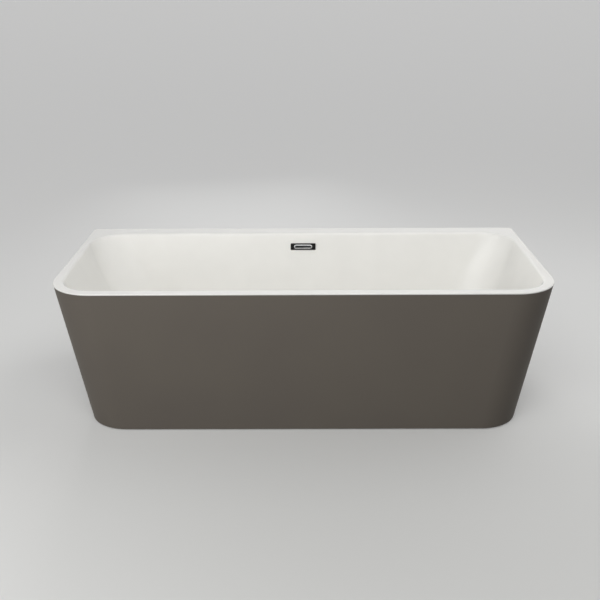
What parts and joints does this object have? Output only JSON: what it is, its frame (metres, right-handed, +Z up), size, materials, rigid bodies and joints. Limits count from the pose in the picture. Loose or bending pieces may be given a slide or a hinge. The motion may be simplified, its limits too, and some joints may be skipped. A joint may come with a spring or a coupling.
{
  "type": "semi-freestanding bathtub",
  "caption": "Double-ended bathtub for a wall: white basin with square back corners and rounded front corners, over a tapering skirt, with a cradle, levelling feet, lift plug and overflow.",
  "frame": {"origin": "middle of the footprint on the floor", "axes": "+X along the tub, -Y towards the rounded front, +Y towards the wall, +Z up"},
  "size_m": [1.8, 0.8, 0.57],
  "materials": {
    "white_acrylic": "glossy sanitary acrylic",
    "taupe_skirt": "matt taupe",
    "timber": "planed softwood",
    "sealed_board": "resin-sealed chipboard",
    "coated_steel": "powder coated",
    "zinc_steel": "zinc plated",
    "black_plastic": "moulded, fine grain",
    "black_gloss": "gloss black",
    "grey_plastic": "moulded polypropylene",
    "chrome_trim": "polished chrome",
    "black_rubber": "matt rubber",
    "brass_stem": "turned"
  },
  "bodies": {
    "tub": {"tub_shell": "white_acrylic", "outer_skirt": "taupe_skirt", "rim_batten_front": "timber", "rim_batten_rear": "timber", "base_board": "sealed_board", "frame_rail_front": "coated_steel", "frame_rail_rear_left": "coated_steel", "frame_rail_rear_right": "coated_steel", "frame_cross_outer_left": "coated_steel", "frame_cross_inner_left": "coated_steel", "frame_cross_inner_right": "coated_steel", "frame_cross_outer_right": "coated_steel", "rail_end_caps": "black_plastic", "lock_nuts": "zinc_steel", "board_screws": "zinc_steel", "bracket_screws": "zinc_steel", "batten_screws": "zinc_steel", "skirt_clips": "zinc_steel", "skirt_bracket_front_left": "zinc_steel", "skirt_bracket_front_centre": "zinc_steel", "skirt_bracket_front_right": "zinc_steel", "skirt_bracket_side_left": "zinc_steel", "skirt_bracket_side_right": "zinc_steel", "wall_bracket_left": "zinc_steel", "wall_bracket_right": "zinc_steel", "overflow_plate": "black_gloss", "overflow_bezel": "chrome_trim", "overflow_gasket": "black_rubber", "overflow_body": "grey_plastic", "overflow_hose": "grey_plastic", "hose_nut_upper": "black_plastic", "hose_nut_lower": "black_plastic", "waste_flange": "chrome_trim", "waste_gasket_upper": "black_rubber", "waste_gasket_lower": "black_rubber", "waste_body": "grey_plastic", "trap_nut": "black_plastic"},
    "trap": {"trap_body": "grey_plastic", "outlet_nut": "black_plastic", "outlet_pipe": "grey_plastic"},
    "plug": {"plug_cap": "chrome_trim", "plug_seal": "black_rubber", "plug_stem": "brass_stem"},
    "foot_1": {"foot_stud_1": "zinc_steel", "foot_pad_1": "black_plastic"},
    "foot_2": {"foot_stud_2": "zinc_steel", "foot_pad_2": "black_plastic"},
    "foot_3": {"foot_stud_3": "zinc_steel", "foot_pad_3": "black_plastic"},
    "foot_4": {"foot_stud_4": "zinc_steel", "foot_pad_4": "black_plastic"},
    "foot_5": {"foot_stud_5": "zinc_steel", "foot_pad_5": "black_plastic"},
    "foot_6": {"foot_stud_6": "zinc_steel", "foot_pad_6": "black_plastic"},
    "foot_7": {"foot_stud_7": "zinc_steel", "foot_pad_7": "black_plastic"},
    "foot_8": {"foot_stud_8": "zinc_steel", "foot_pad_8": "black_plastic"}
  },
  "joints": [
    {"name": "plug_lift", "type": "slide", "parent": "tub", "child": "plug", "axis": [0, 0, 1], "range_m": [0, 0.009]},
    {"name": "trap_swivel", "type": "hinge", "parent": "tub", "child": "trap", "pos_m": [0, 0.105, 0.05], "axis": [0, 0, 1], "range_deg": [-40, 40]},
    {"name": "foot_adjust_1", "type": "slide", "parent": "tub", "child": "foot_1", "axis": [0, 0, 1], "range_m": [-0.015, 0.015]},
    {"name": "foot_adjust_2", "type": "slide", "parent": "tub", "child": "foot_2", "axis": [0, 0, 1], "range_m": [-0.015, 0.015]},
    {"name": "foot_adjust_3", "type": "slide", "parent": "tub", "child": "foot_3", "axis": [0, 0, 1], "range_m": [-0.015, 0.015]},
    {"name": "foot_adjust_4", "type": "slide", "parent": "tub", "child": "foot_4", "axis": [0, 0, 1], "range_m": [-0.015, 0.015]},
    {"name": "foot_adjust_5", "type": "slide", "parent": "tub", "child": "foot_5", "axis": [0, 0, 1], "range_m": [-0.015, 0.015]},
    {"name": "foot_adjust_6", "type": "slide", "parent": "tub", "child": "foot_6", "axis": [0, 0, 1], "range_m": [-0.015, 0.015]},
    {"name": "foot_adjust_7", "type": "slide", "parent": "tub", "child": "foot_7", "axis": [0, 0, 1], "range_m": [-0.015, 0.015]},
    {"name": "foot_adjust_8", "type": "slide", "parent": "tub", "child": "foot_8", "axis": [0, 0, 1], "range_m": [-0.015, 0.015]}
  ]
}
